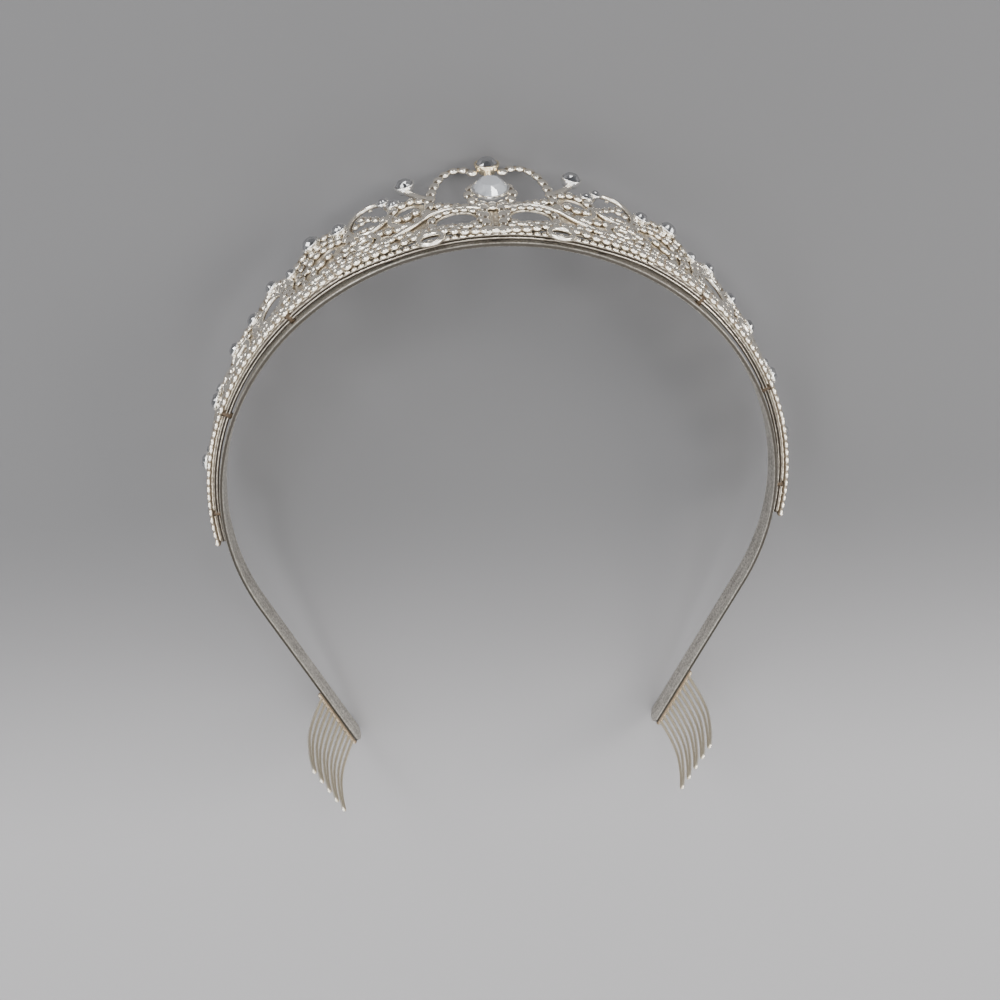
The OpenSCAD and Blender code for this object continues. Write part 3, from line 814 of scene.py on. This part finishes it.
def cut_facets(width, stretch, pavilion, seat):
    """Corners and flat facets of a cut stone: a table of eight corners, eight points halfway to the
    girdle, sixteen girdle corners above and below, eight points on the back, and the back's point."""
    at, along, up, facing = seat
    eighths = 2 * pi * np.arange(8) / 8
    sixteenths = 2 * pi * np.arange(16) / 16
    half = width / 2
    deep, high = pavilion * width, crown_share * width
    base = cup_floor + joint_gap
    rings = [(table_share * half, base + deep + high, eighths),
             (star_radius * half, base + deep + star_rise * high, eighths + pi / 8),
             (half, base + deep, sixteenths),
             (half, base + deep - girdle, sixteenths),
             (back_radius * half, base + back_rise * deep, eighths + pi / 8),
             (0.0, base, np.zeros(1))]
    points = np.concatenate([
        at + r * np.sin(a)[:, None] * along + stretch * r * np.cos(a)[:, None] * up + z * facing
        for r, z, a in rings])
    table, star, upper, lower, back, tip = 0, 8, 16, 32, 48, 56
    faces = [tuple(table + k for k in range(8))]
    for k in range(8):
        after, before = (k + 1) % 8, (k - 1) % 8
        g, g1, g2 = 2 * k, 2 * k + 1, (2 * k + 2) % 16
        faces += [(table + k, star + k, table + after), (table + k, star + before, upper + g, star + k),
                  (star + k, upper + g, upper + g1), (star + k, upper + g1, upper + g2),
                  (tip, back + k, lower + g, back + before),
                  (back + k, lower + g1, lower + g), (back + k, lower + g2, lower + g1)]
    faces += [(upper + j, lower + j, lower + (j + 1) % 16, upper + (j + 1) % 16) for j in range(16)]
    return points, faces


def glass(name, colour, rough, clear_share):
    """Glass with a faint cloud in its colour and its haze, and a share that lets light through."""
    material, tree, shader = new_material(name, {"Transmission Weight": clear_share, "IOR": glass_ior})
    cloud = noise(tree, object_place(tree), cloud_grain)
    darker = (*(c * (1 - cloud_strength) for c in colour), 1)
    feed(tree, shader, {"Base Color": between(tree, cloud, darker, (*colour, 1)),
                        "Roughness": ramp(tree, cloud, low=rough, high=3 * rough)})
    return material


def set_stone(node, slot, material, width, seat, stretch=1, pavilion=pavilion_share):
    """A cut stone in its cup, in place of the stone's node."""
    stone = Shape()
    points, faces = cut_facets(width, stretch, pavilion, seat)
    stone.add(points, faces, 1.0)
    stone.place(f"{node}_cut", material, slot, node, smooth=False)


def stones():
    """The cloudy centre stone, the highest one, and those of both sides."""
    # The clear stones' body colour is near-black: a painted dark reflection in the glass
    clear = glass("clear cut glass", (0.06, 0.062, 0.068), rough=0.01, clear_share=0.35)
    cloudy = glass("cloudy cut glass", (0.72, 0.76, 0.82), rough=0.06, clear_share=0.6)
    set_stone("centre_stone", "centre_stone_glass", cloudy, centre_stone_width,
              seat_axes(0, centre_stone_rise, 1), centre_stretch, centre_pavilion_share)
    set_stone("top_stone", "clear_stone", clear, top_stone_width, seat_axes(0, top_cup_rise, 1))
    for side, label in ((-1, "left"), (1, "right")):
        for number, (x, y, share) in enumerate(SIDE_STONES, start=1):
            set_stone(f"{label}_stone_{number}", "clear_stone", clear, share * side_stone_width,
                      seat_axes(x, y, side))


stones()

# The combs: under each end of the band, a straight rail of plated wire that carries narrow loops of
# thinner wire, the teeth. They bow outwards, and brown solder holds them to the band.
comb_length = 0.020
tooth_count = 5
tooth_length = 0.025
tooth_radius = 0.00045
tooth_bow = 0.0026
rail_radius = 0.00075
rail_out = band_thick + joint_gap + rail_radius
rail_rise = rail_radius + 0.0003
rail_steps, rail_sides = 30, 14
tooth_pitch = comb_length / tooth_count
tooth_leg = tooth_pitch / 4
# Columns: sideways from the middle, outwards and downwards, as shares of the leg, bow and length
TOOTH = np.array([
    (-1, 0, -0.04), (-1, 0.75, 0.25), (-0.95, 1, 0.5), (-0.75, 0.65, 0.78), (-0.55, 0.2, 0.96),
    (0, 0.1, 1), (0.55, 0.2, 0.96), (0.75, 0.65, 0.78), (0.95, 1, 0.5), (1, 0.75, 0.25), (1, 0, -0.04)])


def beside_tail(along, out, rise, side):
    """Points beside the band's straight end: along it, outwards from its inner face, and downwards."""
    facing, heading = end_directions(side)
    along, out, rise = (np.asarray(v, float)[..., None] for v in (along, out, rise))
    return at_rest(facing * (inner_radius + out) + heading * along - np.array([0, 0, 1.0]) * rise)


def comb(label, side, wire_silver, rail_silver):
    """Teeth side by side, each a round wire along the curve through its points, on a straight rail."""
    teeth, back = Shape(), Shape()
    first = tail_length - comb_length - end_cut / 2
    facing = (end_directions(side)[0] @ rest_turn.T)[None]
    for i in range(tooth_count):
        middle = first + (i + 0.5) * tooth_pitch
        route = beside_tail(middle + TOOTH[:, 0] * tooth_leg, rail_out + TOOTH[:, 1] * tooth_bow,
                            -TOOTH[:, 2] * tooth_length, side)
        wire = curve_through(route, 6)
        round_wire(teeth, wire, np.repeat(facing, len(wire), 0), tooth_radius)
    rail = beside_tail(np.linspace(first, first + comb_length, rail_steps), rail_out, rail_rise, side)
    round_wire(back, rail, np.repeat(facing, len(rail), 0), rail_radius, sides=rail_sides)
    teeth.place(f"{label}_comb_teeth", wire_silver, "comb_wire", f"comb_{label}")
    back.place(f"{label}_comb_rail", rail_silver, "comb_wire", f"comb_{label}")


def combs():
    """The same comb on both sides, in the same two finishes."""
    # Both finishes go to their dull colour where the lit share is low: painted shade on the backs of
    # the wires
    wire_silver = silver("comb wire silver", (0.96, 0.92, 0.82), (0.50, 0.44, 0.33),
                         dull_up_to=0.05, bright_from=0.75, grain=700, dent=0.15)
    rail_silver = silver("comb rail silver", (0.55, 0.48, 0.38), (0.25, 0.19, 0.13),
                         dull_up_to=0.2, bright_from=0.8, grain=700, dent=0.3)
    for side, label in ((-1, "left"), (1, "right")):
        comb(label, side, wire_silver, rail_silver)


combs()

# The pale floor, painted darker away from the viewer as shade, the soft studio lights, and the camera
# at the photograph's angle.
floor_size = 3.0
floor_roughness = 0.8
# Where along Y the floor's painted shade starts, and where it is full
pale_from, full_shade_from = -0.115, 0.0
floor_pale, floor_painted_shade = (0.248, 0.244, 0.250, 1), (0.093, 0.092, 0.095, 1)
sky_colour, sky_strength = (0.94, 0.95, 0.96, 1), 0.20
white = (1, 1, 1)
# Columns: name, place, the point it aims at, width and height, power, colour
LIGHTS = [
    ("overhead", (0.0, -0.12, 0.70), (0, 0, 0), (2.2, 1.8), 23.0, white),
    ("front left", (-0.50, 0.60, 0.45), (0, 0.05, 0.02), (0.25, 0.25), 3.0, white),
    ("right", (0.65, 0.15, 0.40), (0, 0.02, 0.02), (0.20, 0.25), 2.5, (1.0, 0.95, 0.88)),
]
# Small panels all round, which flash in the beads and in the facets of the stones
# Columns: name, angles round the crown in degrees, distance from the middle, the middle's Y, height,
# width and height, power
PANELS = [
    ("high panel", (15, 88, 160, 232, 304), 0.42, 0.05, 0.56, (0.16, 0.16), 0.8),
    ("low panel", (10, 70, 130, 190, 250, 310), 0.65, 0.0, 0.24, (0.30, 0.18), 0.9),
]
panel_aim = 0.02


def floor():
    """A flat sheet with painted shade: its colour is darker away from the viewer's side, a painted
    falloff of light as on a softly lit sweep.
    """
    mesh = bpy.data.meshes.new("floor")
    half = floor_size / 2
    corners = [(-half, -half, 0), (half, -half, 0), (half, half, 0), (-half, half, 0)]
    mesh.from_pydata(corners, [], [(0, 1, 2, 3)])
    material, tree, shader = new_material("pale floor", {"Roughness": floor_roughness})
    # Painted shade: the colour darkens towards +Y, away from the viewer
    backwards = add_node(tree, "SeparateXYZ", "Y", {"Vector": object_place(tree)})
    painted_shade = ramp(tree, backwards, pale_from, full_shade_from, bend="SMOOTHSTEP")
    feed(tree, shader, {"Base Color": between(tree, painted_shade, floor_pale, floor_painted_shade)})
    mesh.materials.append(material)
    ground = bpy.data.objects.new("floor", mesh)
    bpy.context.scene.collection.objects.link(ground)


def soft_light(name, place, aim, size, power, colour):
    """A flat panel of light. Its back points away from its aim, and its right side is level."""
    light = bpy.data.lights.new(name, "AREA")
    light.shape = "RECTANGLE"
    light.size, light.size_y = size
    light.energy = power
    light.color = colour
    lamp = bpy.data.objects.new(name, light)
    lamp.visible_camera = False
    back = unit(np.array(place, float) - np.array(aim, float))
    right = unit(np.cross([0, 0, 1.0], back))
    turn = Matrix(np.stack([right, np.cross(back, right), back], axis=1).tolist()).to_4x4()
    lamp.matrix_world = Matrix.Translation(place) @ turn
    bpy.context.scene.collection.objects.link(lamp)


def studio():
    """A dim even sky, the main lights, and the panels, each at an angle and a distance."""
    world = bpy.data.worlds.new("studio")
    world.use_nodes = True
    tree = world.node_tree
    feed(tree, tree.nodes["Background"], {"Color": sky_colour, "Strength": sky_strength})
    bpy.context.scene.world = world
    for light in LIGHTS:
        soft_light(*light)
    for name, angles, distance, middle, height, size, power in PANELS:
        for turn in np.radians(angles):
            place = (distance * sin(turn), distance * cos(turn) + middle, height)
            soft_light(name, place, (0, middle, panel_aim), size, power, white)


def photo_camera():
    """The camera's place and directions: a tilt towards the front, then a small swing and a roll,
    with its distance and its small sideways offsets in the crown's own frame."""
    tilt, roll, swing = radians(32.54), radians(-3.0), radians(-2.5)
    distance, offset_x, offset_y = 0.2472, 0.00069, -0.00357
    back, right = np.array([0, sin(tilt), cos(tilt)]), np.array([1.0, 0, 0])
    up = np.cross(back, right)
    back, right = back * cos(swing) + right * sin(swing), right * cos(swing) - back * sin(swing)
    right, up = right * cos(roll) + up * sin(roll), -right * sin(roll) + up * cos(roll)
    place = at_rest(distance * back - offset_x * right - offset_y * up)
    axes = np.stack([right, up, back]) @ rest_turn.T
    camera = bpy.data.cameras.new("camera")
    camera.lens = camera.sensor_width = 36
    camera.clip_start = 0.01
    holder = bpy.data.objects.new("camera", camera)
    holder.matrix_world = Matrix.Translation(place) @ Matrix(axes.T.tolist()).to_4x4()
    bpy.context.scene.collection.objects.link(holder)
    bpy.context.scene.camera = holder


floor()
studio()
photo_camera()
